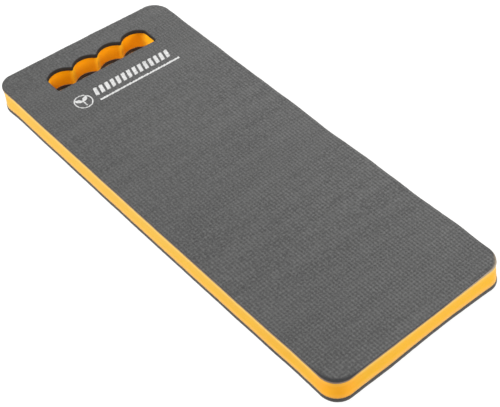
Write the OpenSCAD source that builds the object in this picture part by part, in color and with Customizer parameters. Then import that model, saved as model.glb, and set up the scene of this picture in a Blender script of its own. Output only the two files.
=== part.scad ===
// Garden kneeling pad: two thin textured foam skins bonded to a thick soft core, with a
// scalloped hand hole near one end and a plain printed mark beside it.
// Millimetres. The origin is the middle of the underside, +Y runs along the pad towards
// the hand hole, and +Z is up.

/* [Pad] */
// Width of the pad, along X
pad_w = 200; // [180:1:220]
// Length of the pad, along Y
pad_l = 475; // [440:1:520]
// Radius of the four plan corners
corner_r = 18; // [8:1:30]

/* [Layers] */
// Thickness of the bottom skin
bottom_skin_t = 4; // [2:0.5:6]
// Thickness of each bond film that holds a skin to the core
bond_t = 0.2; // [0.1:0.05:0.4]
// Thickness of the soft core
core_t = 19.6; // [12:0.1:30]
// Thickness of the textured top skin
top_skin_t = 3; // [2:0.5:5]

/* [Hand hole] */
// Number of finger scallops
finger_count = 4; // [3:1:5]
// Distance from one scallop to the next
finger_pitch = 30; // [26:1:33]
// Height of a scallop above the cusps beside it
scallop_rise = 7.8; // [4:0.1:12]
// Length of the straight ends, from the straight edge up to the cusps
straight_end = 20; // [14:1:30]
// Width of the bar of foam between the scallops and the end of the pad
bar_w = 21; // [15:1:35]

/* [Printed mark] */
// Thickness of the ink
ink_t = 0.1; // [0.05:0.05:0.2]
// Width of the whole mark, along X
mark_w = 121; // [100:1:140]
// Height of the whole mark, along Y
mark_h = 19; // [14:1:22]
// Gap between the hand hole and the mark
mark_gap = 19; // [12:1:30]
// Number of slanted blocks in the band
block_count = 14; // [8:1:18]
// Height of the slanted blocks
block_h = 11; // [8:0.5:12]
// Height of the line under the blocks
line_h = 2.4; // [1.5:0.1:4]

/* [Hidden] */
$fn = 96;

// Heights of the layers' undersides, from the bottom up
lower_bond_z = bottom_skin_t;
core_z = lower_bond_z + bond_t;
upper_bond_z = core_z + core_t;
top_skin_z = upper_bond_z + bond_t;
pad_h = top_skin_z + top_skin_t;

// Hand hole: a chord of one finger pitch and its rise give each scallop's radius
hole_w = finger_count * finger_pitch;
scallop_r = (pow(finger_pitch / 2, 2) + pow(scallop_rise, 2)) / (2 * scallop_rise);
scallop_top_y = pad_l / 2 - bar_w;
scallop_centre_y = scallop_top_y - scallop_r;
cusp_y = scallop_top_y - scallop_rise;
straight_edge_y = cusp_y - straight_end;

// Printed mark: a round sprout emblem, then a band of slanted blocks over a line
mark_top_y = straight_edge_y - mark_gap;
emblem_r = mark_h / 2;
emblem_x = -mark_w / 2 + emblem_r;
emblem_y = mark_top_y - emblem_r;
ring_t = emblem_r * 0.13;
stem_w = emblem_r * 0.13;
stem_h = emblem_r * 0.95;
leaf_len = emblem_r * 0.92;
leaf_bow = 0.62;
leaf_tilt = 38;
band_gap = mark_h * 0.25;
band_x = -mark_w / 2 + mark_h + band_gap;
band_w = mark_w / 2 - band_x;
block_slant = block_h * 0.3;
block_pitch = (band_w - block_slant) / block_count;
block_w = block_pitch * 0.62;

// Plan outline of the pad, with round corners
module pad_outline() {
    inner_w = pad_w - 2 * corner_r;
    inner_l = pad_l - 2 * corner_r;
    square([inner_w, pad_l], center = true);
    square([pad_w, inner_l], center = true);
    for (sx = [-1, 1], sy = [-1, 1])
        translate([sx * inner_w / 2, sy * inner_l / 2])
            circle(corner_r);
}

// Hand hole: one straight edge, two straight ends and a row of round finger scallops
module hand_hole() {
    intersection() {
        translate([-hole_w / 2, straight_edge_y])
            square([hole_w, scallop_top_y - straight_edge_y + 1]);
        union() {
            translate([-hole_w / 2 - 1, straight_edge_y - 1])
                square([hole_w + 2, straight_end + 1]);
            for (i = [0 : finger_count - 1])
                translate([(i + 0.5) * finger_pitch - hole_w / 2, scallop_centre_y])
                    circle(scallop_r);
        }
    }
}

// One flat layer of the pad, t thick, with its underside at height z
module layer(z, t) {
    translate([0, 0, z])
        linear_extrude(height = t)
            difference() {
                pad_outline();
                hand_hole();
            }
}

// Pointed leaf that grows from the origin along +X
module leaf() {
    leaf_r = leaf_len * leaf_bow;
    leaf_offset = sqrt(pow(leaf_r, 2) - pow(leaf_len / 2, 2));
    intersection() {
        translate([leaf_len / 2, leaf_offset])
            circle(leaf_r);
        translate([leaf_len / 2, -leaf_offset])
            circle(leaf_r);
    }
}

// Round emblem: a ring round a sprout with two leaves
module emblem() {
    difference() {
        circle(emblem_r);
        circle(emblem_r - ring_t);
    }
    translate([-stem_w / 2, -emblem_r * 0.7])
        square([stem_w, stem_h]);
    for (side = [0, 1])
        mirror([side, 0])
            rotate(leaf_tilt)
                leaf();
}

// Band of slanted blocks with a line under it, from its lower left corner
module band() {
    square([band_w, line_h]);
    for (i = [0 : block_count - 1])
        translate([i * block_pitch, mark_h - block_h])
            polygon([[0, 0], [block_w, 0], [block_w + block_slant, block_h], [block_slant, block_h]]);
}

// Thin dark foam sheet that rests on the ground
module bottom_skin() {
    color([0.24, 0.24, 0.25])
        layer(0, bottom_skin_t);
}

// Adhesive between the bottom skin and the core
module lower_bond_film() {
    color([0.85, 0.8, 0.66])
        layer(lower_bond_z, bond_t);
}

// Thick soft foam slab
module core() {
    color([0.98, 0.71, 0.2])
        layer(core_z, core_t);
}

// Adhesive between the core and the top skin
module upper_bond_film() {
    color([0.85, 0.8, 0.66])
        layer(upper_bond_z, bond_t);
}

// Thin grey foam sheet that is knelt on
module top_skin() {
    color([0.4, 0.4, 0.4])
        layer(top_skin_z, top_skin_t);
}

// White ink on the top skin, beside the hand hole
module printed_mark() {
    color([0.93, 0.93, 0.92])
        translate([0, 0, pad_h])
            linear_extrude(height = ink_t) {
                translate([emblem_x, emblem_y])
                    emblem();
                translate([band_x, mark_top_y - mark_h])
                    band();
            }
}

bottom_skin();
lower_bond_film();
core();
upper_bond_film();
top_skin();
printed_mark();
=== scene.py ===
import math

import bpy
import numpy as np
from mathutils import Matrix, Vector
from mathutils.geometry import delaunay_2d_cdt


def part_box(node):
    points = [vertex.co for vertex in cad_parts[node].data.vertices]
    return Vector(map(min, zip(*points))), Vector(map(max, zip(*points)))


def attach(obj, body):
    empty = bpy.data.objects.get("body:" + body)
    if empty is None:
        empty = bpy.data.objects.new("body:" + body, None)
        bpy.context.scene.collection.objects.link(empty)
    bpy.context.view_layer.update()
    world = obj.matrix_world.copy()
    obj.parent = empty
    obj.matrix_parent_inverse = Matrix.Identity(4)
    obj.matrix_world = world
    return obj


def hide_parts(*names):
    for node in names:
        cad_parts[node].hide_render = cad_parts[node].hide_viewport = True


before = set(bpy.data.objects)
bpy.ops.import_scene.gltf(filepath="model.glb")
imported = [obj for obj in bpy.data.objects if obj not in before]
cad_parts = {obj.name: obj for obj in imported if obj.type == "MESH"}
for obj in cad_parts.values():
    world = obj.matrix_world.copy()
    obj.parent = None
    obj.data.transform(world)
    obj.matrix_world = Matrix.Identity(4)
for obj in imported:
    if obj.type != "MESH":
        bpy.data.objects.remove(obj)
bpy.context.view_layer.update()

MM = 0.001

# ---- Sizes, in millimetres, in the frame of the CAD ----
PAD_LO, PAD_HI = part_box("core")
PAD_W = (PAD_HI.x - PAD_LO.x) / MM
PAD_L = (PAD_HI.y - PAD_LO.y) / MM
CORE_LOW = PAD_LO.z / MM
CORE_HIGH = PAD_HI.z / MM
CORNER_R = 18.0
SKIN_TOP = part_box("top_skin")[1].z / MM

# Hand hole, as in the CAD: a straight edge, straight ends and round finger scallops. The die rounds
# its corners a little and drags the upper edge down by HOLE_DROP.
FINGERS = 4
FINGER_PITCH = 30.0
SCALLOP_RISE = 7.8
STRAIGHT_END = 20.0
BAR_W = 21.0
SCALLOP_R = ((FINGER_PITCH / 2) ** 2 + SCALLOP_RISE ** 2) / (2 * SCALLOP_RISE)
SCALLOP_TOP_Y = PAD_L / 2 - BAR_W
SCALLOP_CENTRE_Y = SCALLOP_TOP_Y - SCALLOP_R
CUSP_Y = SCALLOP_TOP_Y - SCALLOP_RISE
HOLE_EDGE_Y = CUSP_Y - STRAIGHT_END
HOLE_HALF_W = FINGERS * FINGER_PITCH / 2
HOLE_ROUNDING = 1.5
HOLE_DROP = 2.5

# Printed mark, as in the CAD: a ring round a sprout with two leaves, then slanted blocks over a line
MARK_W = 121.0
MARK_H = 19.0
MARK_GAP = 19.0
MARK_TOP_Y = HOLE_EDGE_Y - MARK_GAP
EMBLEM_R = MARK_H / 2
RING_T = EMBLEM_R * 0.13
STEM_W = EMBLEM_R * 0.13
STEM_H = EMBLEM_R * 0.95
STEM_FOOT = EMBLEM_R * 0.7
LEAF_LEN = EMBLEM_R * 0.92
LEAF_R = LEAF_LEN * 0.62
LEAF_TILT = 38.0
BAND_X = -MARK_W / 2 + MARK_H * 1.25
BAND_W = MARK_W / 2 - BAND_X
BLOCKS = 14
BLOCK_H = 11.0
BLOCK_SLANT = BLOCK_H * 0.3
BLOCK_PITCH = (BAND_W - BLOCK_SLANT) / BLOCKS
BLOCK_W = BLOCK_PITCH * 0.62
LINE_H = 2.4

# The ink's faces over and under the surface of the skin, the spacing of the points along its
# outlines, the gap between those and the points inside, and how far its edge wanders
INK_ABOVE = 0.08
INK_BELOW = 0.10
INK_STEP = 0.45
INK_CLEAR = 0.30
INK_WANDER = 0.10

# How the foam differs from a perfect slab. Both ends lift by BOW, the cut leans towards the
# underside, the top skin stands proud of the core, and the ends bulge.
BOW = 2.1
LEAN_X = 1.1
LEAN_Y = 2.6
SKIN_PROUD = 0.40
END_BULGE = 0.45
# Corners pushed out of true: signs of X and Y, then the push at the top and at the bottom
CORNER_PUSHES = [(-1, 1, 1.3, 2.4), (-1, -1, 0.8, 1.8), (1, -1, 0.2, 2.4), (1, 1, 0.4, -0.2)]
PUSH_REACH = 14.0
# How far the middle of the slab rises at the end away from the hand hole
LAYER_RISE = 1.8
# Corners whose rim rolls down: signs of X and Y, the drop and its reach
RIM_ROLLS = [(-1, -1, 0.9, 18.0), (1, -1, 0.22, 24.0)]
# Height of the lower edge of the rim's painted shade, where the cut begins
RIM_FOOT = SKIN_TOP - 0.55

# Long waves of the kneeling face, strongest at the +X edge: period, height and phase
LONG_WAVES = [(110.0, 0.20, 5.4), (175.0, 0.12, 5.3), (65.0, 0.10, 0.3), (95.0, 0.12, 1.1),
              (36.0, 0.07, 2.8)]

# Embossed lattice on the skins: flat bumps between grooves, with mesh columns and rows on the
# grooves
BUMP_X = 3.53
BUMP_Y = 3.26
COLUMN = BUMP_X / 4
ROW = BUMP_Y / 3
GROOVE_X_DEPTH = 0.45
GROOVE_Y_DEPTH = 0.28

# Spacing of the points round the pad and round the hand hole, and of the mesh on hidden faces
OUTER_STEP = 1.2
HOLE_STEP = 0.8
COARSE = 12.0

# Random values that the smooth noise is made from
NOISE_N = 64
NOISE = np.random.RandomState(11).uniform(-1, 1, (NOISE_N, NOISE_N))

# Soft lights, aimed at the middle of the pad: name, place in metres, power in watts, width in metres
LIGHTS = [("left_softbox", (-1.95, 1.20, 1.93), 70.0, 0.9),
          ("right_softbox", (1.45, -2.34, 1.20), 42.0, 0.9),
          ("front_fill", (-1.50, -1.68, 2.60), 26.0, 0.9),
          ("back_softbox", (1.50, 0.55, 0.90), 3.0, 0.5)]
WORLD_STRENGTH = 0.50

# Camera: where it looks from and at, in degrees and metres
CAMERA_AZIMUTH = -41.75
CAMERA_ELEVATION = 46.80
CAMERA_ROLL = 0.50
CAMERA_DISTANCE = 1.0795
CAMERA_TARGET = (-0.00208, -0.02697, 0.0)
CAMERA_LENS = 84.64

# Half the side of the floor, and its height, just under the foam, in metres
FLOOR_HALF = 4.0
FLOOR_Z = -0.0003


# ---- Plan outlines ----
def rounded_outline():
    """Points round the plan outline, counterclockwise, and the normals that point out of the foam."""
    points = []
    normals = []
    arc_n = int(math.ceil(CORNER_R * math.pi / 2 / OUTER_STEP))
    corners = [(1, -1, -90), (1, 1, 0), (-1, 1, 90), (-1, -1, 180)]
    for k, (sx, sy, start) in enumerate(corners):
        centre = Vector((sx * (PAD_W / 2 - CORNER_R), sy * (PAD_L / 2 - CORNER_R)))
        for i in range(arc_n + 1):
            a = math.radians(start + 90 * i / arc_n)
            normal = Vector((math.cos(a), math.sin(a)))
            points.append(centre + normal * CORNER_R)
            normals.append(normal)
        run = PAD_L - 2 * CORNER_R if k in (0, 2) else PAD_W - 2 * CORNER_R
        run_n = int(round(run / OUTER_STEP))
        along = Vector((-normals[-1].y, normals[-1].x))
        last = points[-1].copy()
        for i in range(1, run_n):
            points.append(last + along * (run * i / run_n))
            normals.append(normals[-1])
    return np.array(points), np.array(normals)


def exact_hole_path():
    """Dense closed path round the hand hole, clockwise, with its sharp corners."""
    arc_n = 120
    path = [(-HOLE_HALF_W, HOLE_EDGE_Y), (-HOLE_HALF_W, CUSP_Y)]
    half = math.asin(FINGER_PITCH / 2 / SCALLOP_R)
    for i in range(FINGERS):
        cx = (i + 0.5) * FINGER_PITCH - HOLE_HALF_W
        for k in range(1, arc_n + 1):
            a = math.pi / 2 + half - 2 * half * k / arc_n
            path.append((cx + SCALLOP_R * math.cos(a), SCALLOP_CENTRE_Y + SCALLOP_R * math.sin(a)))
    path.append((HOLE_HALF_W, HOLE_EDGE_Y))
    return np.array(path)


def resample(path, count):
    """Evenly spaced points on a closed path."""
    closed = np.vstack([path, path[:1]])
    along = np.concatenate([[0.0], np.cumsum(np.hypot(*np.diff(closed, axis=0).T))])
    at = np.linspace(0.0, along[-1], count, endpoint=False)
    return np.column_stack([np.interp(at, along, closed[:, k]) for k in (0, 1)]), along[-1]


def hole_outline():
    """Points round the hand hole with slightly rounded corners and cusps, and normals out of the foam."""
    fine_n = 3000
    fine, length = resample(exact_hole_path(), fine_n)
    step = length / fine_n
    reach = int(4 * HOLE_ROUNDING / step)
    weights = np.exp(-0.5 * (np.arange(-reach, reach + 1) * step / HOLE_ROUNDING) ** 2)
    weights /= weights.sum()
    smooth = sum(w * np.roll(fine, k, axis=0) for w, k in zip(weights, range(-reach, reach + 1)))
    points, length = resample(smooth, int(round(length / HOLE_STEP)))
    ahead = np.roll(points, -1, axis=0) - np.roll(points, 1, axis=0)
    ahead /= np.hypot(*ahead.T)[:, None]
    return points, np.column_stack([ahead[:, 1], -ahead[:, 0]])


OUTER, OUTER_N = rounded_outline()
HOLE, HOLE_N = hole_outline()
RING_N = len(OUTER) + len(HOLE)


def cusp_share():
    """How much of an inset each point of the hand hole takes: less at the narrow cusps."""
    share = np.ones(len(HOLE))
    for i in range(1, FINGERS):
        gap = np.hypot(HOLE[:, 0] - (i * FINGER_PITCH - HOLE_HALF_W), HOLE[:, 1] - CUSP_Y - 1.0)
        share -= 0.40 * np.exp(-(gap / 3.5) ** 2)
    return share[:, None]


HOLE_SHARE = cusp_share()


def ring(inset, hole_inset):
    """The outlines moved into the foam, the outer one by inset and the hole's by hole_inset."""
    return np.vstack([OUTER - OUTER_N * inset, HOLE - HOLE_N * HOLE_SHARE * hole_inset])


def in_polygon(points, polygon):
    """Which points lie in a closed polygon."""
    inside = np.zeros(len(points), bool)
    x, y = points[:, 0], points[:, 1]
    for (x0, y0), (x1, y1) in zip(polygon, np.roll(polygon, -1, axis=0)):
        if y0 == y1:
            continue
        crosses = (y0 > y) != (y1 > y)
        inside ^= crosses & (x < (x1 - x0) * (y - y0) / (y1 - y0) + x0)
    return inside


def depth_in_foam(points, inset, hole_inset):
    """Distance from each plan point to the nearest outline, negative outside the foam. The hand
    hole counts only within margin of it."""
    margin = 8
    q = np.abs(points) - np.array([PAD_W / 2 - CORNER_R, PAD_L / 2 - CORNER_R])
    outside = np.hypot(*np.maximum(q, 0.0).T)
    edge = CORNER_R - inset - outside - np.minimum(q.max(axis=1), 0.0)
    near = (np.abs(points[:, 0]) < HOLE_HALF_W + margin) & (points[:, 1] > HOLE_EDGE_Y - margin)
    near &= points[:, 1] < SCALLOP_TOP_Y + margin
    loop = ring(inset, hole_inset)[len(OUTER):]
    close = points[near]
    gap = np.full(len(close), 1e9)
    for p in loop:
        gap = np.minimum(gap, np.hypot(close[:, 0] - p[0], close[:, 1] - p[1]))
    gap[in_polygon(close, loop)] *= -1
    edge[near] = np.minimum(edge[near], gap)
    return edge


# ---- Smooth noise, and the shape of the surfaces ----
def noise(x, y, cell):
    """Smooth noise from -1 to 1 whose features are about cell across."""
    u, v = x / cell + 17.3, y / cell + 29.1
    i, j = np.floor(u).astype(int), np.floor(v).astype(int)
    s, t = u - i, v - j
    s, t = s * s * (3 - 2 * s), t * t * (3 - 2 * t)
    i0, i1 = i % NOISE_N, (i + 1) % NOISE_N
    j0, j1 = j % NOISE_N, (j + 1) % NOISE_N
    low = NOISE[i0, j0] * (1 - s) + NOISE[i1, j0] * s
    high = NOISE[i0, j1] * (1 - s) + NOISE[i1, j1] * s
    return low * (1 - t) + high * t


def emboss(x, y):
    """Height of the embossed skin under the tops of its bumps, shallower towards the hand hole."""
    across = np.abs((x / BUMP_X) % 1.0 - 0.5) * BUMP_X
    along = np.abs((y / BUMP_Y + 0.5) % 1.0 - 0.5) * BUMP_Y
    down = GROOVE_X_DEPTH * np.clip(1 - across / COLUMN, 0, 1) * (1 + 0.6 * noise(x + 50, y, 4.1))
    down *= 1.0 + 0.35 * 2 * x / PAD_W
    down += GROOVE_Y_DEPTH * np.clip(1 - along / ROW, 0, 1) * (1 + 0.6 * noise(x, y + 50, 3.7))
    down *= 0.91 - 0.26 * 2 * y / PAD_L
    twill = np.cos(math.pi * (x / BUMP_X + y / BUMP_Y - 0.5))
    return -down - 0.12 * (1 - twill) - 0.21 * (1 + noise(x + 9, y + 9, 1.4))


def ripple(x, y):
    """Faint waves across the pad left by the rollers that make the foam."""
    bend = 3.0 * noise(x, y, 90.0)
    waves = 0.065 * np.sin(2 * math.pi * (y + bend) / 17.0)
    waves += 0.040 * np.sin(2 * math.pi * (y + bend) / 12.1 + 1.3)
    waves += 0.015 * np.sin(2 * math.pi * (y + bend) / 9.1 + 0.4)
    return waves * (1 + 0.6 * noise(x, y, 70.0))


def top_relief(x, y):
    """Height of the kneeling face over its mean plane."""
    return emboss(x, y) + ripple(x, y)


def under_relief(x, y):
    """The underside's texture, pressed up into the foam."""
    return -0.7 * emboss(x, y)


def rim_roll(x, y):
    """How far the kneeling face rolls down at the rim of the corners in RIM_ROLLS."""
    down = np.zeros(len(x))
    for sx, sy, roll, reach in RIM_ROLLS:
        along_x = np.maximum(sx * x - PAD_W / 2 + CORNER_R, 0)
        along_y = np.maximum(sy * y - PAD_L / 2 + CORNER_R, 0)
        away = np.hypot(x - sx * PAD_W / 2, y - sy * PAD_L / 2) / reach
        edge = np.clip((np.hypot(along_x, along_y) - CORNER_R) / (0.3 * reach) + 1, 0, 1.1)
        down += roll * edge ** 2 * np.exp(-away ** 2)
    return down


def warp(x, y, z):
    """Moves a point of the perfect slab to where it is on the real foam."""
    low = 1 - z / SKIN_TOP
    long_wave = sum(h * np.sin(2 * math.pi * y / period + phase) for period, h, phase in LONG_WAVES)
    far = np.clip(0.5 + x / PAD_W, 0, 1)
    # The sides lean and wander; the +X one follows the long waves and the -X one's foot bulges
    belly = np.cos(math.pi * y / PAD_L) * (1 - far) * low
    x1 = x + LEAN_X * low + 0.14 * noise(x, y, 23.0) + (0.25 + 0.8 * long_wave) * far ** 3 - 0.4 * belly
    # The ends lean, wander and bulge, and the foot of the -Y one waves
    y1 = y - LEAN_Y * low + 0.16 * noise(y, x, 19.0)
    y1 = y1 + low * (0.3 + 0.6 * np.sin(2 * math.pi * (x + 17) / 130)) * (y < 0)
    y1 = y1 + END_BULGE * np.cos(math.pi * x / PAD_W) * (2 * y / PAD_L) ** 9
    for sx, sy, above, below in CORNER_PUSHES:
        gap = np.hypot(x - sx * PAD_W / 2, y - sy * PAD_L / 2)
        push = (above + (below - above) * low) * 0.7 * np.exp(-0.5 * (gap / PUSH_REACH) ** 2)
        x1 = x1 + sx * push
        y1 = y1 + sy * push
    # The rim rolls down, the layers rise at the -Y end, the ends lift and the top is wavy
    z = z - rim_roll(x, y) * (1 - low)
    rise = LAYER_RISE * np.sqrt(np.sin(math.pi * np.clip(1 - low, 0, 1)))
    rise = rise * np.exp(-((y / PAD_L + 0.5) * 40) ** 2)
    z1 = z + rise + BOW * (2 * y / PAD_L) ** 2 + long_wave * (0.25 + 0.75 * far) * (1 - low)
    return np.column_stack([x1, y1, z1])


# ---- Meshes ----
def grid_faces(kept, rows):
    """Node numbers round each kept cell of a grid that has rows nodes in a column."""
    ci, ri = np.nonzero(kept)
    a = ci * rows + ri
    return np.column_stack([a, a + rows, a + rows + 1, a + 1])


def staircase(kept):
    """Grid edges, as node pairs, between a kept cell and one that isn't kept."""
    cols, rows = kept.shape[0] + 1, kept.shape[1] + 1
    wide = np.zeros((cols + 1, rows + 1), bool)
    wide[1:cols, 1:rows] = kept
    edges = []
    ci, ri = np.nonzero(wide[:-1, :] != wide[1:, :])
    edges += [(c * rows + r - 1, c * rows + r) for c, r in zip(ci, ri)]
    ci, ri = np.nonzero(wide[:, :-1] != wide[:, 1:])
    edges += [((c - 1) * rows + r, c * rows + r) for c, r in zip(ci, ri)]
    return edges


def cap(inset, hole_inset, dx, dy):
    """Fills the plan between the outlines: gives the inner points, and faces that number the
    outlines' points first."""
    margin = 0.45 * max(dx, dy)
    xs = np.arange(-math.ceil(PAD_W / 2 / dx), math.ceil(PAD_W / 2 / dx) + 1) * dx
    ys = np.arange(-math.ceil(PAD_L / 2 / dy), math.ceil(PAD_L / 2 / dy) + 1) * dy
    cols, rows = len(xs), len(ys)
    nodes = np.column_stack([np.repeat(xs, rows), np.tile(ys, cols)])
    inside = (depth_in_foam(nodes, inset, hole_inset) > margin).reshape(cols, rows)
    kept = inside[:-1, :-1] & inside[1:, :-1] & inside[:-1, 1:] & inside[1:, 1:]
    framed = np.zeros((cols + 1, rows + 1), bool)
    framed[1:-1, 1:-1] = kept
    full = framed[:-1, :-1] & framed[1:, :-1] & framed[:-1, 1:] & framed[1:, 1:]
    number = np.full(cols * rows, -1)
    used = np.nonzero(inside.ravel())[0]
    number[used] = RING_N + np.arange(len(used))
    faces = [list(f) for f in number[grid_faces(kept, rows)]]
    # The strip between the kept cells and the outlines
    loops = ring(inset, hole_inset)
    loose = np.nonzero((inside & ~full).ravel())[0]
    local = {int(number[n]): RING_N + k for k, n in enumerate(loose)}
    back = list(range(RING_N)) + [int(number[n]) for n in loose]
    points = [Vector(p) for p in loops] + [Vector(nodes[n]) for n in loose]
    first = len(OUTER)
    edges = [(i, (i + 1) % first) for i in range(first)]
    edges += [(first + i, first + (i + 1) % len(HOLE)) for i in range(len(HOLE))]
    edges += [(local[int(number[a])], local[int(number[b])]) for a, b in staircase(kept)]
    made, _, triangles, origin, _, _ = delaunay_2d_cdt(points, edges, [], 0, 1e-6)
    plan = np.array([tuple(p) for p in made])
    triangles = np.array(triangles)
    middle = plan[triangles].mean(axis=1)
    cell_c = np.clip(np.floor((middle[:, 0] - xs[0]) / dx).astype(int), 0, cols - 2)
    cell_r = np.clip(np.floor((middle[:, 1] - ys[0]) / dy).astype(int), 0, rows - 2)
    keep = ~kept[cell_c, cell_r]
    keep &= ~in_polygon(middle, loops[first:])
    to = [back[o[0]] for o in origin]
    for t in triangles[keep]:
        faces.append([to[t[0]], to[t[1]], to[t[2]]])
    return nodes[used], faces


def mesh_object(name, points, faces, material, levels=None):
    """A smooth-shaded mesh object from points in millimetres; levels are their heights in the flat slab."""
    mesh = bpy.data.meshes.new(name)
    mesh.from_pydata((points * MM).tolist(), [], faces)
    mesh.update()
    if levels is not None:
        mesh.attributes.new("level", "FLOAT", "POINT").data.foreach_set("value", levels)
    mesh.polygons.foreach_set("use_smooth", [True] * len(mesh.polygons))
    mesh.materials.append(material)
    piece = bpy.data.objects.new(name, mesh)
    bpy.context.scene.collection.objects.link(piece)
    return piece


def flat(x, y):
    """No relief."""
    return np.zeros(len(x))


def sheet_of_foam(name, profile, under, over, material):
    """A closed layer with the plan of the pad.

    profile lists (inset, inset at the hand hole, height, share of the relief, drop at the hand hole)
    from the bottom rim up to the top rim. under and over each give the grid step along X, along Y and
    the relief of that face.
    """
    levels = []
    for k, (inset, hole_inset, z, share, drop) in enumerate(profile):
        plan = ring(inset, hole_inset)
        relief = under[2] if k < len(profile) / 2 else over[2]
        wander = 0.07 * noise(plan[:, 0] * 1.7 + z * 3, plan[:, 1] * 1.7 + z * 5, 6.0)
        plan = plan + np.vstack([OUTER_N, HOLE_N]) * wander[:, None]
        height = z + share * relief(*plan.T)
        height[len(OUTER):] -= drop
        levels.append(np.column_stack([plan, height]))
    faces = []
    loops = [(0, len(OUTER)), (len(OUTER), len(HOLE))]
    for k in range(len(profile) - 1):
        for start, count in loops:
            a = k * RING_N + start + np.arange(count)
            b = k * RING_N + start + (np.arange(count) + 1) % count
            faces += np.column_stack([a, b, b + RING_N, a + RING_N]).tolist()
    total = RING_N * len(profile)
    blocks = levels
    heights = [np.full(RING_N, level[2]) for level in profile]
    for is_top, (dx, dy, relief), level in ((False, under, profile[0]), (True, over, profile[-1])):
        inner, filled = cap(level[0], level[1], dx, dy)
        first = RING_N * (len(profile) - 1) if is_top else 0
        for f in filled:
            g = [first + i if i < RING_N else total + i - RING_N for i in f]
            faces.append(g if is_top else g[::-1])
        blocks.append(np.column_stack([inner, level[2] + relief(*inner.T)]))
        heights.append(np.full(len(inner), level[2]))
        total += len(inner)
    points = np.vstack(blocks)
    heights = np.concatenate(heights)
    # Where the rim rolls down, the rim's painted shade reaches further in
    rolled = heights - 2 * rim_roll(points[:, 0], points[:, 1])
    heights = np.maximum(rolled, np.minimum(heights, RIM_FOOT))
    return mesh_object(name, warp(*points.T), faces, material, heights)


# ---- Materials ----
def start_material(name, colour, roughness, specular):
    """A principled material and its shader node."""
    material = bpy.data.materials.new(name)
    material.use_nodes = True
    material.diffuse_color = (*colour, 1.0)
    shader = material.node_tree.nodes["Principled BSDF"]
    shader.inputs["Base Color"].default_value = (*colour, 1.0)
    shader.inputs["Roughness"].default_value = roughness
    shader.inputs["Specular IOR Level"].default_value = specular
    return material, shader


def node(material, kind):
    """A new node of the material."""
    return material.node_tree.nodes.new(kind)


def link(material, a, b):
    """Feeds output a into input b."""
    material.node_tree.links.new(a, b)


def math_node(material, operation, a, b=None, c=None):
    """A math node fed by sockets or plain numbers."""
    made = node(material, "ShaderNodeMath")
    made.operation = operation
    for k, value in enumerate((a, b, c)):
        if value is None:
            continue
        if isinstance(value, (int, float)):
            made.inputs[k].default_value = value
        else:
            link(material, value, made.inputs[k])
    return made.outputs[0]


def noise_node(material, where, scale, detail):
    """Noise from 0 to 1 with scale features to the metre."""
    made = node(material, "ShaderNodeTexNoise")
    made.inputs["Scale"].default_value = scale
    made.inputs["Detail"].default_value = detail
    link(material, where, made.inputs["Vector"])
    return made.outputs["Fac"]


def stretched(material, where, scales):
    """A position with scaled axes; noise made from it is stretched along the axes scaled under 1."""
    made = node(material, "ShaderNodeMapping")
    made.inputs["Scale"].default_value = scales
    link(material, where, made.inputs["Vector"])
    return made.outputs["Vector"]


def ramp_between(material, factor, low, high, out_low, out_high):
    """Maps factor from low..high to out_low..out_high, clamped."""
    made = node(material, "ShaderNodeMapRange")
    link(material, factor, made.inputs["Value"])
    for key, value in (("From Min", low), ("From Max", high), ("To Min", out_low), ("To Max", out_high)):
        made.inputs[key].default_value = value
    return made.outputs["Result"]


def mix_colours(material, factor, a, b):
    """Colour a where factor is 0 and b where it is 1; each is a socket or an RGB triple."""
    # A mix node has its own sockets for colours
    colour_a, colour_b, colour_out = 6, 7, 2
    made = node(material, "ShaderNodeMix")
    made.data_type = "RGBA"
    link(material, factor, made.inputs["Factor"])
    for key, value in ((colour_a, a), (colour_b, b)):
        if isinstance(value, tuple):
            made.inputs[key].default_value = (*value, 1.0)
        else:
            link(material, value, made.inputs[key])
    return made.outputs[colour_out]


def add_bump(material, shader, heights):
    """Chains bump nodes; heights lists (socket, distance in metres, strength)."""
    before = None
    for socket, distance, strength in heights:
        made = node(material, "ShaderNodeBump")
        made.inputs["Distance"].default_value = distance
        made.inputs["Strength"].default_value = strength
        link(material, socket, made.inputs["Height"])
        if before is not None:
            link(material, before, made.inputs["Normal"])
        before = made.outputs["Normal"]
    link(material, before, shader.inputs["Normal"])


def position(material):
    """Where the shaded point is, in metres."""
    return node(material, "ShaderNodeTexCoord").outputs["Object"]


def plan_axes(material, where):
    """The X and Y of a position, in metres."""
    split = node(material, "ShaderNodeSeparateXYZ")
    link(material, where, split.inputs[0])
    return split.outputs["X"], split.outputs["Y"]


def outside_box(material, where, middle_y, half_w, half_l):
    """How far a position lies outside a box in plan, in metres; the box is given in millimetres."""
    x, y = plan_axes(material, where)
    along = math_node(material, "ABSOLUTE", math_node(material, "SUBTRACT", y, middle_y * MM))
    across = math_node(material, "SUBTRACT", math_node(material, "ABSOLUTE", x), half_w * MM)
    along = math_node(material, "SUBTRACT", along, half_l * MM)
    return math_node(material, "MAXIMUM", across, along)


def mottled(material, clouds, a, b):
    """Colour a drifting to colour b with the clouds."""
    return mix_colours(material, ramp_between(material, clouds, 0.3, 0.7, 0, 1), a, b)


def height_in_slab(material):
    """Height in the flat slab in millimetres, before the foam was bent."""
    made = node(material, "ShaderNodeAttribute")
    made.attribute_name = "level"
    return made.outputs["Fac"]


def lattice(material, where):
    """0 in the valleys of the embossed lattice and 1 on its bumps."""
    x, y = plan_axes(material, where)
    u = math_node(material, "COSINE", math_node(material, "MULTIPLY", x, 2 * math.pi / (BUMP_X * MM)))
    v = math_node(material, "COSINE", math_node(material, "MULTIPLY", y, 2 * math.pi / (BUMP_Y * MM)))
    both = math_node(material, "MULTIPLY_ADD", u, 0.3, math_node(material, "MULTIPLY", v, -0.2))
    return math_node(material, "ADD", both, 0.5)


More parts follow.
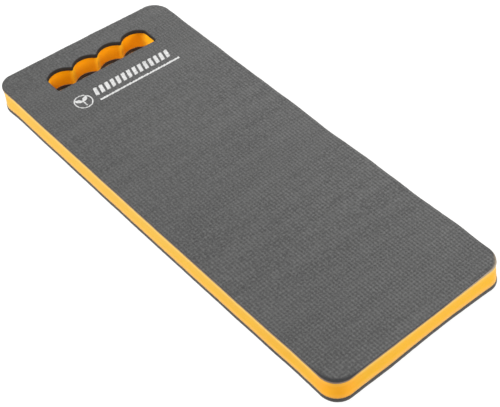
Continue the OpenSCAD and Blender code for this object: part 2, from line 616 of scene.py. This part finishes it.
def in_the_open(material, where):
    """1 on the outer sides and 0 in the hand hole."""
    beyond = outside_box(material, where, 0, HOLE_HALF_W + 10, SCALLOP_TOP_Y + 10)
    return ramp_between(material, beyond, 0.0, 0.002, 0.0, 1.0)


def past_corner(material, where, side):
    """How far a position lies from the corner of least Y on one side of X, as a sum along X and Y."""
    x, y = plan_axes(material, where)
    across = math_node(material, "MULTIPLY_ADD", x, -side, y)
    return math_node(material, "ADD", across, (PAD_W + PAD_L) / 2 * MM)


def near_the_least_corner(material, where, at_corner, along_sides):
    """Goes from one value at the corner of least X and Y to another along the sides."""
    past = past_corner(material, where, -1)
    return ramp_between(material, past, 15.5 * MM, 31.5 * MM, at_corner, along_sides)


def on_the_ridges(material, where):
    """1 beside the ridges between the finger scallops and at the ends of the hand hole, else 0."""
    x, y = plan_axes(material, where)
    beside = math_node(material, "SUBTRACT", x, 2.8 * MM)
    turn = math_node(material, "MULTIPLY", beside, 2 * math.pi / (FINGER_PITCH * MM))
    ridge = ramp_between(material, math_node(material, "COSINE", turn), 0.50, 1.0, 0.0, 1.0)
    beyond = ramp_between(material, y, (CUSP_Y - 18) * MM, (CUSP_Y - 12) * MM, 0.0, 1.0)
    return math_node(material, "MULTIPLY", ridge, beyond)


def top_foam_material():
    """Grey closed-cell foam: an embossed skin on top with painted ripple shading, painted shade in its
    valleys, on its rim and towards -X, and a cut edge with painted light near one corner and painted shade
    in the hand hole.
    """
    material, shader = start_material("grey_foam", (0.100, 0.100, 0.099), 0.65, 0.20)
    where = position(material)
    clouds = noise_node(material, where, 14.0, 3.0)
    grain = noise_node(material, where, 650.0, 2.0)
    bands = noise_node(material, stretched(material, where, (0.10, 1.0, 1.0)), 90.0, 1.0)
    tone = mottled(material, clouds, (0.072, 0.072, 0.072), (0.083, 0.083, 0.082))
    # Painted shade: bands of lighter tone across the pad stand in for the shading of the roller ripples.
    painted_ripple_shade = ramp_between(material, bands, 0.35, 0.65, 0.0, 0.36)
    tone = mix_colours(material, painted_ripple_shade, tone, (0.132, 0.132, 0.131))
    speck = ramp_between(material, grain, 0.35, 0.65, 0.0, 0.70)
    tone = mix_colours(material, speck, tone, (0.172, 0.172, 0.170))
    x, y = plan_axes(material, where)
    # Painted shade in the valleys of the emboss, stronger towards the -Y end.
    painted_valley_shade = ramp_between(material, lattice(material, where), 0.0, 0.8, 0.45, 0.0)
    valley_shade_scale = ramp_between(material, y, PAD_LO.y, PAD_HI.y, 1.15, 0.70)
    tone = mix_colours(material, math_node(material, "MULTIPLY", painted_valley_shade, valley_shade_scale), tone, (0.036, 0.036, 0.037))
    shade = ramp_between(material, x, PAD_LO.x, PAD_HI.x, 0.20, 0.0)
    tone = mix_colours(material, shade, tone, (0.010, 0.010, 0.010))
    level = height_in_slab(material)
    # Painted shade on the rounded rim of the kneeling face, reaching further in where the rim rolls down.
    rim = ramp_between(material, level, SKIN_TOP - 0.5, SKIN_TOP - 0.05, 0.85, 0.0)
    tone = mix_colours(material, rim, tone, (0.024, 0.024, 0.026))
    # Painted light on the top skin's cut face near the corner of greatest X and least Y, where the cut face
    # also shows further up.
    pale = ramp_between(material, past_corner(material, where, 1), 7.5 * MM, 77.5 * MM, 1.0, 0.0)
    front = ramp_between(material, y, PAD_LO.y + 7.5 * MM, PAD_LO.y + 16.5 * MM, 1.0, 0.0)
    pale = math_node(material, "MULTIPLY", pale, front)
    shown = math_node(material, "MULTIPLY_ADD", pale, -0.45, level)
    cut = ramp_between(material, shown, RIM_FOOT - 0.5, RIM_FOOT, 1.0, 0.0)
    side = mix_colours(material, pale, (0.205, 0.150, 0.110), (0.380, 0.310, 0.230))
    # Painted shade: the top skin's cut face is nearly black in the hand hole.
    face = mix_colours(material, in_the_open(material, where), (0.028, 0.024, 0.019), side)
    tone = mix_colours(material, cut, tone, face)
    link(material, tone, shader.inputs["Base Color"])
    link(material, ramp_between(material, grain, 0.3, 0.7, 0.78, 0.92), shader.inputs["Roughness"])
    pores = noise_node(material, where, 2600.0, 1.0)
    add_bump(material, shader, [(grain, 0.00012, 0.6), (pores, 0.00003, 0.5)])
    return material


def bottom_foam_material():
    """Near-black closed-cell foam with a slightly scuffed skin."""
    material, shader = start_material("black_foam", (0.024, 0.020, 0.017), 0.45, 0.40)
    where = position(material)
    clouds = noise_node(material, where, 22.0, 3.0)
    grain = noise_node(material, where, 1000.0, 2.0)
    tone = mottled(material, clouds, (0.018, 0.015, 0.012), (0.027, 0.023, 0.019))
    speck = ramp_between(material, grain, 0.35, 0.75, 0.0, 0.4)
    tone = mix_colours(material, speck, tone, (0.045, 0.044, 0.043))
    link(material, tone, shader.inputs["Base Color"])
    link(material, ramp_between(material, grain, 0.3, 0.7, 0.40, 0.54), shader.inputs["Roughness"])
    pores = noise_node(material, where, 2600.0, 1.0)
    add_bump(material, shader, [(grain, 0.00008, 0.5), (pores, 0.00003, 0.5)])
    return material


def core_foam_material():
    """Yellow-orange foam as the die cuts it: open pores, faint drag lines, paler upper and lower edges,
    painted reflection haze on the outer sides and painted light in the hand hole.
    """
    material, shader = start_material("orange_foam", (0.68, 0.36, 0.006), 0.42, 0.10)
    where = position(material)
    clouds = noise_node(material, where, 95.0, 3.0)
    pores = noise_node(material, where, 1500.0, 2.0)
    drag = noise_node(material, stretched(material, where, (1.0, 1.0, 0.12)), 420.0, 2.0)
    tone = mottled(material, clouds, (0.660, 0.328, 0.002), (0.705, 0.380, 0.006))
    # Painted reflection: a paler, hazier orange along the outer sides away from the corner of least X and
    # Y.
    painted_haze = ramp_between(material, past_corner(material, where, -1), 7.5 * MM, 217.5 * MM, 0.0, 0.8)
    tone = mix_colours(material, painted_haze, tone, (0.675, 0.402, 0.040))
    x, _ = plan_axes(material, where)
    lively = ramp_between(material, x, PAD_LO.x + 2 * MM, PAD_LO.x + 82 * MM, 0.0, 0.8)
    tone = mix_colours(material, lively, tone, (0.760, 0.395, 0.012))
    # The corner of least X and Y keeps a deeper orange, without the painted haze.
    corner_without_haze = near_the_least_corner(material, where, 0.5, 0.0)
    tone = mix_colours(material, corner_without_haze, tone, (0.83, 0.310, 0.003))
    # Painted light in the hand hole: its walls are a brighter, more saturated orange than the outer sides,
    # with a painted highlight just beside each ridge between the finger scallops.
    ridges = math_node(material, "MULTIPLY", on_the_ridges(material, where), 0.85)
    inside = mix_colours(material, ridges, (0.96, 0.380, 0.002), (1.0, 0.55, 0.02))
    tone = mix_colours(material, in_the_open(material, where), inside, tone)
    level = height_in_slab(material)
    # Paler near the upper and lower edges of the outer sides, less so near the corner of least X and Y.
    upper = ramp_between(material, level, CORE_HIGH - 5.8, CORE_HIGH - 1.0, 0.0, 0.85)
    lower = ramp_between(material, level, CORE_LOW + 0.1, CORE_LOW + 5.3, 0.75, 0.0)
    paler_edge_share = near_the_least_corner(material, where, 0.35, 1.0)
    paler_edge_share = math_node(material, "MULTIPLY", in_the_open(material, where), paler_edge_share)
    tone = mix_colours(material, math_node(material, "MULTIPLY", upper, paler_edge_share), tone, (0.73, 0.48, 0.120))
    tone = mix_colours(material, math_node(material, "MULTIPLY", lower, paler_edge_share), tone, (0.78, 0.42, 0.120))
    dark = ramp_between(material, pores, 0.25, 0.5, 0.28, 0.0)
    tone = mix_colours(material, dark, tone, (0.75, 0.22, 0.004))
    link(material, tone, shader.inputs["Base Color"])
    link(material, ramp_between(material, pores, 0.3, 0.7, 0.34, 0.48), shader.inputs["Roughness"])
    add_bump(material, shader, [(drag, 0.00020, 0.45), (pores, 0.00010, 0.6)])
    return material


def adhesive_material():
    """Thin dried adhesive, seen only as a hairline between the foams."""
    material, shader = start_material("adhesive_film", (0.72, 0.52, 0.24), 0.6, 0.4)
    where = position(material)
    clouds = noise_node(material, where, 260.0, 2.0)
    tone = mottled(material, clouds, (0.60, 0.40, 0.16), (0.78, 0.58, 0.30))
    link(material, tone, shader.inputs["Base Color"])
    link(material, ramp_between(material, clouds, 0.3, 0.7, 0.5, 0.7), shader.inputs["Roughness"])
    add_bump(material, shader, [(clouds, 0.00005, 0.4)])
    return material


def ink_material():
    """White screen ink, thinner in the valleys of the emboss."""
    material, shader = start_material("white_ink", (0.80, 0.80, 0.79), 0.62, 0.4)
    where = position(material)
    grain = noise_node(material, where, 1100.0, 2.0)
    clouds = noise_node(material, where, 90.0, 2.0)
    tone = mottled(material, clouds, (0.56, 0.56, 0.555), (0.66, 0.66, 0.655))
    thin = ramp_between(material, lattice(material, where), 0.0, 0.5, 0.22, 0.0)
    tone = mix_colours(material, thin, tone, (0.30, 0.30, 0.30))
    bare = ramp_between(material, grain, 0.28, 0.45, 0.45, 0.0)
    tone = mix_colours(material, bare, tone, (0.28, 0.28, 0.28))
    link(material, tone, shader.inputs["Base Color"])
    link(material, ramp_between(material, grain, 0.3, 0.7, 0.55, 0.75), shader.inputs["Roughness"])
    add_bump(material, shader, [(grain, 0.00005, 0.5)])
    return material


def floor_material():
    """Plain pale studio floor: it glows round the pad, holds a warm bounce in the hand hole and is
    in shadow under the foam."""
    material, shader = start_material("pale_floor", (0.22, 0.22, 0.22), 0.9, 0.0)
    where = position(material)
    beyond = outside_box(material, where, 0, PAD_W / 2 - 8, PAD_L / 2 - 8)
    hole_y = (HOLE_EDGE_Y + SCALLOP_TOP_Y) / 2
    past_hole = outside_box(material, where, hole_y, HOLE_HALF_W + 3, SCALLOP_TOP_Y - hole_y + 3)
    glow = math_node(material, "MAXIMUM", ramp_between(material, past_hole, 0.0, 0.001, 0.16, 0.02),
                     ramp_between(material, beyond, 0.0, 0.001, 0.0, 0.85))
    plain = ramp_between(material, past_hole, 0.0, 0.001, 0.0, 1.0)
    light = mix_colours(material, plain, (1.0, 0.50, 0.16), (1.0, 1.0, 1.0))
    link(material, light, shader.inputs["Emission Color"])
    tone = mix_colours(material, plain, (0.85, 0.85, 0.85), (0.22, 0.22, 0.22))
    link(material, tone, shader.inputs["Base Color"])
    link(material, glow, shader.inputs["Emission Strength"])
    return material


# ---- Pieces ----
def finish_piece(piece, cad_node):
    """Rides the piece and hides the CAD node that it stands for."""
    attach(piece, "root")
    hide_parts(cad_node)


def make_top_skin():
    """Embossed grey skin with a rounded rim, its edge at the hand hole dragged down."""
    low, high = [p.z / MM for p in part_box("top_skin")]
    shape = [(0.20, low, 0), (0.03, low + 0.25, 0), (0.0, low + 0.8, 0), (0.0, high - 1.2, 0.05),
             (0.08, high - 0.8, 0.15), (0.30, high - 0.40, 0.35), (0.70, high - 0.14, 0.6),
             (1.20, high, 0.9)]
    profile = []
    for inset, z, share in shape:
        drop = HOLE_DROP * (1 - 0.8 * (z - low) / (high - low))
        profile.append((inset - SKIN_PROUD, inset - 0.1, z, share, drop))
    under = (COARSE, COARSE, flat)
    over = (COLUMN, ROW, top_relief)
    piece = sheet_of_foam("top_skin_foam", profile, under, over, top_foam_material())
    finish_piece(piece, "top_skin")


def make_core():
    """Thick core whose sides sink in between the skins and whose edges are rounded."""
    steps = 14
    profile = []
    for k in range(steps + 1):
        t = k / steps
        waist = math.sin(math.pi * t) ** 0.6
        edge = 0.35 * math.exp(-((1 - t) / 0.04) ** 2) + 0.30 * math.exp(-(t / 0.04) ** 2)
        z = CORE_LOW + (CORE_HIGH - CORE_LOW) * t
        hole_inset = 0.35 * waist + edge + 0.2 + 0.9 * t
        profile.append((0.45 * waist + edge - 0.1, hole_inset, z, 0, HOLE_DROP * t))
    under = (COARSE, COARSE, flat)
    piece = sheet_of_foam("core_foam_slab", profile, under, under, core_foam_material())
    finish_piece(piece, "core")


def make_bottom_skin():
    """Near-black skin with a coarse relief pressed into its underside."""
    low, high = [p.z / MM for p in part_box("bottom_skin")]
    shape = [(0.70, low, 0.85), (0.38, low + 0.10, 0.5), (0.16, low + 0.30, 0.2), (0.04, low + 0.6, 0),
             (0.0, low + 1.0, 0), (0.0, high - 0.9, 0), (0.06, high - 0.3, 0), (0.24, high, 0)]
    profile = [(inset - 0.25, inset - 0.1, z, share, 0) for inset, z, share in shape]
    under = (COLUMN, ROW, under_relief)
    over = (COARSE, COARSE, flat)
    piece = sheet_of_foam("bottom_skin_foam", profile, under, over, bottom_foam_material())
    finish_piece(piece, "bottom_skin")


def make_film(cad_node, name, material):
    """Film of adhesive whose edge is set back a little from the skin's."""
    low, high = [p.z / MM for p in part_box(cad_node)]
    middle = (low + high) / 2
    is_upper = middle > SKIN_TOP / 2
    drop = HOLE_DROP if is_upper else 0
    hole_inset = 1.3 if is_upper else 0.5
    profile = [(0.20, hole_inset, low, 0, drop), (0.12, hole_inset - 0.1, middle, 0, drop),
               (0.20, hole_inset, high, 0, drop)]
    under = (COARSE, COARSE, flat)
    piece = sheet_of_foam(name, profile, under, under, material)
    finish_piece(piece, cad_node)


# ---- Printed mark ----
def circle(x, y, r, count):
    """Round outline of count points."""
    turn = np.arange(count) * 2 * math.pi / count
    return np.column_stack([x + r * np.cos(turn), y + r * np.sin(turn)])


def leaf_outline(x, y, side):
    """Pointed leaf from (x, y), the overlap of two circles, on one side of X."""
    half = math.asin(LEAF_LEN / 2 / LEAF_R)
    offset = math.sqrt(LEAF_R ** 2 - LEAF_LEN ** 2 / 4)
    turn = np.linspace(-half, half, 15)
    upper = np.column_stack([LEAF_LEN / 2 + LEAF_R * np.sin(turn), LEAF_R * np.cos(turn) - offset])
    lower = np.column_stack([LEAF_LEN / 2 - LEAF_R * np.sin(turn), offset - LEAF_R * np.cos(turn)])
    leaf = np.vstack([upper[:-1], lower[:-1]])
    c, s = math.cos(math.radians(LEAF_TILT)), math.sin(math.radians(LEAF_TILT))
    turned = np.column_stack([leaf[:, 0] * c - leaf[:, 1] * s, leaf[:, 0] * s + leaf[:, 1] * c])
    return np.column_stack([x + side * turned[:, 0], y + turned[:, 1]])


def bar(x, y, width, height, slant=0.0):
    """Box outline from its lower left corner, with its top moved along X by slant."""
    return np.array([[x, y], [x + width, y], [x + width + slant, y + height], [x + slant, y + height]])


def mark_shapes():
    """The mark's outlines as (outline, outline of its hole or None)."""
    x, y = -MARK_W / 2 + EMBLEM_R, MARK_TOP_Y - EMBLEM_R
    shapes = [(circle(x, y, EMBLEM_R, 110), circle(x, y, EMBLEM_R - RING_T, 96)),
              (bar(x - STEM_W / 2, y - STEM_FOOT, STEM_W, STEM_H), None),
              (leaf_outline(x, y, 1), None),
              (leaf_outline(x, y, -1), None),
              (bar(BAND_X, MARK_TOP_Y - MARK_H, BAND_W, LINE_H), None)]
    for i in range(BLOCKS):
        left = BAND_X + i * BLOCK_PITCH
        shapes.append((bar(left, MARK_TOP_Y - BLOCK_H, BLOCK_W, BLOCK_H, BLOCK_SLANT), None))
    return shapes


def in_mark(points, shapes):
    """Which points lie under the ink."""
    inside = np.zeros(len(points), bool)
    for outline, gap in shapes:
        hit = in_polygon(points, outline)
        if gap is not None:
            hit &= ~in_polygon(points, gap)
        inside |= hit
    return inside


def split_long_edges(outline, step):
    """The closed outline with more points, none further than step from the next."""
    points = []
    for a, b in zip(outline, np.roll(outline, -1, axis=0)):
        count = max(1, int(math.ceil(np.hypot(*(b - a)) / step)))
        points += [a + (b - a) * k / count for k in range(count)]
    return np.array(points)


def make_ink():
    """The printed mark as one thin film that follows the emboss."""
    shapes = mark_shapes()
    points = []
    edges = []
    for outline, gap in shapes:
        for loop in (outline, gap):
            if loop is None:
                continue
            fine = split_long_edges(loop, INK_STEP)
            first = len(points)
            points += [tuple(p) for p in fine]
            edges += [(first + k, first + (k + 1) % len(fine)) for k in range(len(fine))]
    xs = np.arange(math.ceil(-MARK_W / 2 / COLUMN), math.ceil(MARK_W / 2 / COLUMN)) * COLUMN
    ys = np.arange(math.ceil((MARK_TOP_Y - MARK_H) / ROW), math.ceil(MARK_TOP_Y / ROW)) * ROW
    inner = np.column_stack([np.repeat(xs, len(ys)), np.tile(ys, len(xs))])
    clear = np.ones(len(inner), bool)
    for p in points:
        clear &= np.hypot(inner[:, 0] - p[0], inner[:, 1] - p[1]) > INK_CLEAR
    inner = inner[clear & in_mark(inner, shapes)]
    points += [tuple(p) for p in inner]
    made, _, triangles, _, _, _ = delaunay_2d_cdt([Vector(p) for p in points], edges, [], 0, 1e-5)
    plan = np.array([tuple(p) for p in made])
    triangles = np.array(triangles)
    triangles = triangles[in_mark(plan[triangles].mean(axis=1), shapes)]
    plan = plan + INK_WANDER * np.column_stack([noise(plan[:, 0] * 9, plan[:, 1] * 9, 6.0),
                                                noise(plan[:, 1] * 9, plan[:, 0] * 9, 6.0)])
    count = len(plan)
    surface = SKIN_TOP + top_relief(*plan.T)
    over = np.column_stack([plan, surface + INK_ABOVE])
    under = np.column_stack([plan, surface - INK_BELOW])
    faces = triangles.tolist()
    faces += (triangles[:, ::-1] + count).tolist()
    sides = [(t[k], t[(k + 1) % 3]) for t in triangles.tolist() for k in range(3)]
    known = set(sides)
    for a, b in sides:
        if (b, a) not in known:
            faces.append([a, a + count, b + count, b])
    both = np.vstack([over, under])
    used = np.unique(np.concatenate([np.array(f) for f in faces]))
    renumber = np.full(len(both), -1)
    renumber[used] = np.arange(len(used))
    faces = [[int(renumber[i]) for i in f] for f in faces]
    piece = mesh_object("ink_mark", warp(*both[used].T), faces, ink_material())
    finish_piece(piece, "printed_mark")


# ---- Stage ----
def make_floor():
    """The floor, which isn't part of the pad."""
    mesh = bpy.data.meshes.new("floor")
    signs = ((-1, -1), (1, -1), (1, 1), (-1, 1))
    corners = [(sx * FLOOR_HALF, sy * FLOOR_HALF, FLOOR_Z) for sx, sy in signs]
    mesh.from_pydata(corners, [], [(0, 1, 2, 3)])
    mesh.materials.append(floor_material())
    floor = bpy.data.objects.new("floor", mesh)
    bpy.context.scene.collection.objects.link(floor)


def make_light(name, place, power, size):
    """A round soft light aimed at the origin."""
    data = bpy.data.lights.new(name, "AREA")
    data.shape = "DISK"
    data.size = size
    data.energy = power
    lamp = bpy.data.objects.new(name, data)
    lamp.location = place
    lamp.rotation_euler = Vector(place).to_track_quat("Z", "Y").to_euler()
    bpy.context.scene.collection.objects.link(lamp)


def make_world():
    """An even white light from all round."""
    world = bpy.data.worlds.new("studio")
    world.use_nodes = True
    background = world.node_tree.nodes["Background"]
    background.inputs["Color"].default_value = (1.0, 1.0, 1.0, 1.0)
    background.inputs["Strength"].default_value = WORLD_STRENGTH
    bpy.context.scene.world = world


def make_camera():
    """The camera, from its angles, its distance and what it looks at."""
    azimuth = math.radians(CAMERA_AZIMUTH)
    elevation = math.radians(CAMERA_ELEVATION)
    back = Vector((math.sin(azimuth) * math.cos(elevation), -math.cos(azimuth) * math.cos(elevation),
                   math.sin(elevation)))
    data = bpy.data.cameras.new("camera")
    data.sensor_fit = "HORIZONTAL"
    data.sensor_width = 36.0
    data.lens = CAMERA_LENS
    data.clip_end = 20.0
    camera = bpy.data.objects.new("camera", data)
    camera.location = Vector(CAMERA_TARGET) + back * CAMERA_DISTANCE
    turn = back.to_track_quat("Z", "Y").to_matrix().to_4x4()
    turn = turn @ Matrix.Rotation(math.radians(CAMERA_ROLL), 4, Vector((0, 0, 1)))
    camera.rotation_euler = turn.to_euler()
    bpy.context.scene.collection.objects.link(camera)
    bpy.context.scene.camera = camera


make_top_skin()
make_core()
make_bottom_skin()
glue = adhesive_material()
make_film("upper_bond_film", "upper_glue_line", glue)
make_film("lower_bond_film", "lower_glue_line", glue)
make_ink()
make_floor()
make_world()
for light in LIGHTS:
    make_light(*light)
make_camera()
bpy.context.scene.view_settings.view_transform = "Standard"
